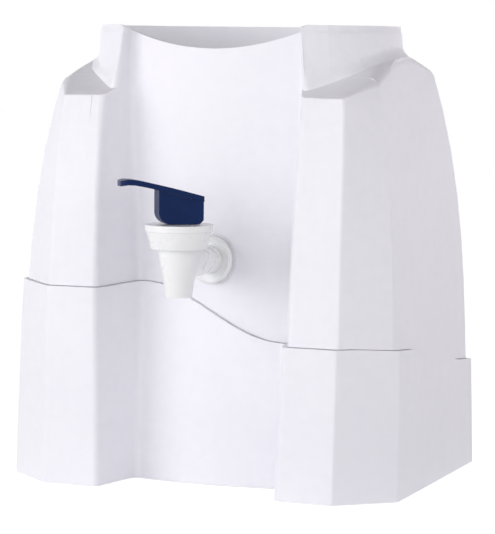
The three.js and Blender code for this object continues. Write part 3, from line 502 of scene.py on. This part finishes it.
camera_data = bpy.data.cameras.new("camera")
camera = bpy.data.objects.new("camera", camera_data)
scene.collection.objects.link(camera)
scene.camera = camera
camera_data.sensor_width = SENSOR
camera_data.lens = SENSOR * FOCAL_PIXELS / PHOTO_HEIGHT
camera_data.clip_start = CLIP_START
camera_data.clip_end = CLIP_END


def aimed(place, target):
    """Stands at the place and looks at the target."""
    turn = (target - place).to_track_quat("-Z", "Y").to_matrix().to_4x4()
    return Matrix.Translation(place) @ turn


across = Vector((math.cos(CAMERA_AZIMUTH), math.sin(CAMERA_AZIMUTH), 0.0))
toward = Vector((math.sin(CAMERA_AZIMUTH), -math.cos(CAMERA_AZIMUTH), 0.0))
axis_foot = Vector((0.0, COLLAR_AXIS_Y, 0.0))
eye = axis_foot + toward * CAMERA_DISTANCE + Vector((0.0, 0.0, CAMERA_HEIGHT))
aim = axis_foot + across * AIM_ACROSS + Vector((0.0, 0.0, AIM_HEIGHT))
camera.matrix_world = aimed(eye, aim) @ Matrix.Rotation(CAMERA_ROLL, 4, "Z")


# Floor: pale, white where only the camera sees it, and darkened by the object's shadow
FLOOR_COLOUR = colour(250, 250, 252)
FLOOR_ROUGHNESS = 0.9
FLOOR_SPECULAR = 0.1
FLOOR_GLOW = 0.72
FLOOR_REACH = 8.0


def floor_material():
    material = bpy.data.materials.new("floor")
    tree = Tree(material)
    seen = tree.add("ShaderNodeLightPath")
    rays = tree.math("MAXIMUM", seen.outputs["Is Camera Ray"], seen.outputs["Is Glossy Ray"])
    rays = tree.math("MAXIMUM", rays, seen.outputs["Is Transmission Ray"])
    shader = tree.add(
        "ShaderNodeBsdfPrincipled", Base_Color=FLOOR_COLOUR, Roughness=FLOOR_ROUGHNESS,
        Specular_IOR_Level=FLOOR_SPECULAR,
    )
    glow = tree.add("ShaderNodeEmission", Color=WHITE)
    tree.put(glow.inputs["Strength"], tree.math("MULTIPLY", rays, FLOOR_GLOW))
    total = tree.add("ShaderNodeAddShader")
    tree.put(total.inputs[0], shader.outputs[0])
    tree.put(total.inputs[1], glow.outputs[0])
    tree.add("ShaderNodeOutputMaterial", Surface=total.outputs[0])
    return material


floor_mesh = bpy.data.meshes.new("floor")
floor_corners = [(-1, -1), (1, -1), (1, 1), (-1, 1)]
floor_mesh.from_pydata(
    [(x * FLOOR_REACH, y * FLOOR_REACH, 0) for x, y in floor_corners], [], [(0, 1, 2, 3)]
)
floor = bpy.data.objects.new("floor", floor_mesh)
scene.collection.objects.link(floor)
floor_mesh.materials.append(floor_material())


# World: pale light that is strongest at the horizon, white to the camera and through clear things
HORIZON = 1.68
HORIZON_FALL = 2.0
WORLD_TINT = colour(254, 252, 255)


def build_world():
    world = bpy.data.worlds.new("world")
    scene.world = world
    tree = Tree(world)
    seen = tree.add("ShaderNodeLightPath")
    rays = tree.math("MAXIMUM", seen.outputs["Is Camera Ray"], seen.outputs["Is Transmission Ray"])
    direction = tree.add("ShaderNodeTexCoord").outputs["Generated"]
    way = tree.add("ShaderNodeSeparateXYZ", Vector=direction)
    rise = tree.math("MAXIMUM", way.outputs["Z"], 0.0)
    low = tree.math("POWER", tree.math("SUBTRACT", 1.0, rise), HORIZON_FALL)
    strength = tree.math("MULTIPLY", low, HORIZON)
    lit = tree.add("ShaderNodeBackground", Color=WORLD_TINT, Strength=strength)
    white = tree.add("ShaderNodeBackground", Color=WHITE, Strength=1.0)
    mixed = tree.add("ShaderNodeMixShader")
    tree.put(mixed.inputs[0], rays)
    tree.put(mixed.inputs[1], lit.outputs[0])
    tree.put(mixed.inputs[2], white.outputs[0])
    tree.add("ShaderNodeOutputWorld", Surface=mixed.outputs[0])


build_world()

# Softboxes: azimuth from the front towards the right and elevation in degrees, then watts
LIGHT_AIM = Vector((0.0, 0.0, 0.16))
LIGHT_DISTANCE = 2.0
LIGHT_SIZE = 1.0
SOFTBOXES = {
    "key": (-42, 12, 10.0),
    "front_left": (-15, 12, 4.6),
    "front_right": (25, 12, 2.5),
    "upper_right": (60, 42, 3.2),
    "side": (110, 10, 2.0),
}
for name, (azimuth, elevation, power) in SOFTBOXES.items():
    data = bpy.data.lights.new(name, "AREA")
    data.shape = "SQUARE"
    data.size = LIGHT_SIZE
    data.energy = power
    lamp = bpy.data.objects.new(name, data)
    scene.collection.objects.link(lamp)
    a = math.radians(azimuth)
    e = math.radians(elevation)
    out = Vector((math.sin(a) * math.cos(e), -math.cos(a) * math.cos(e), math.sin(e)))
    lamp.matrix_world = aimed(LIGHT_AIM + out * LIGHT_DISTANCE, LIGHT_AIM)

scene.view_settings.view_transform = "Standard"
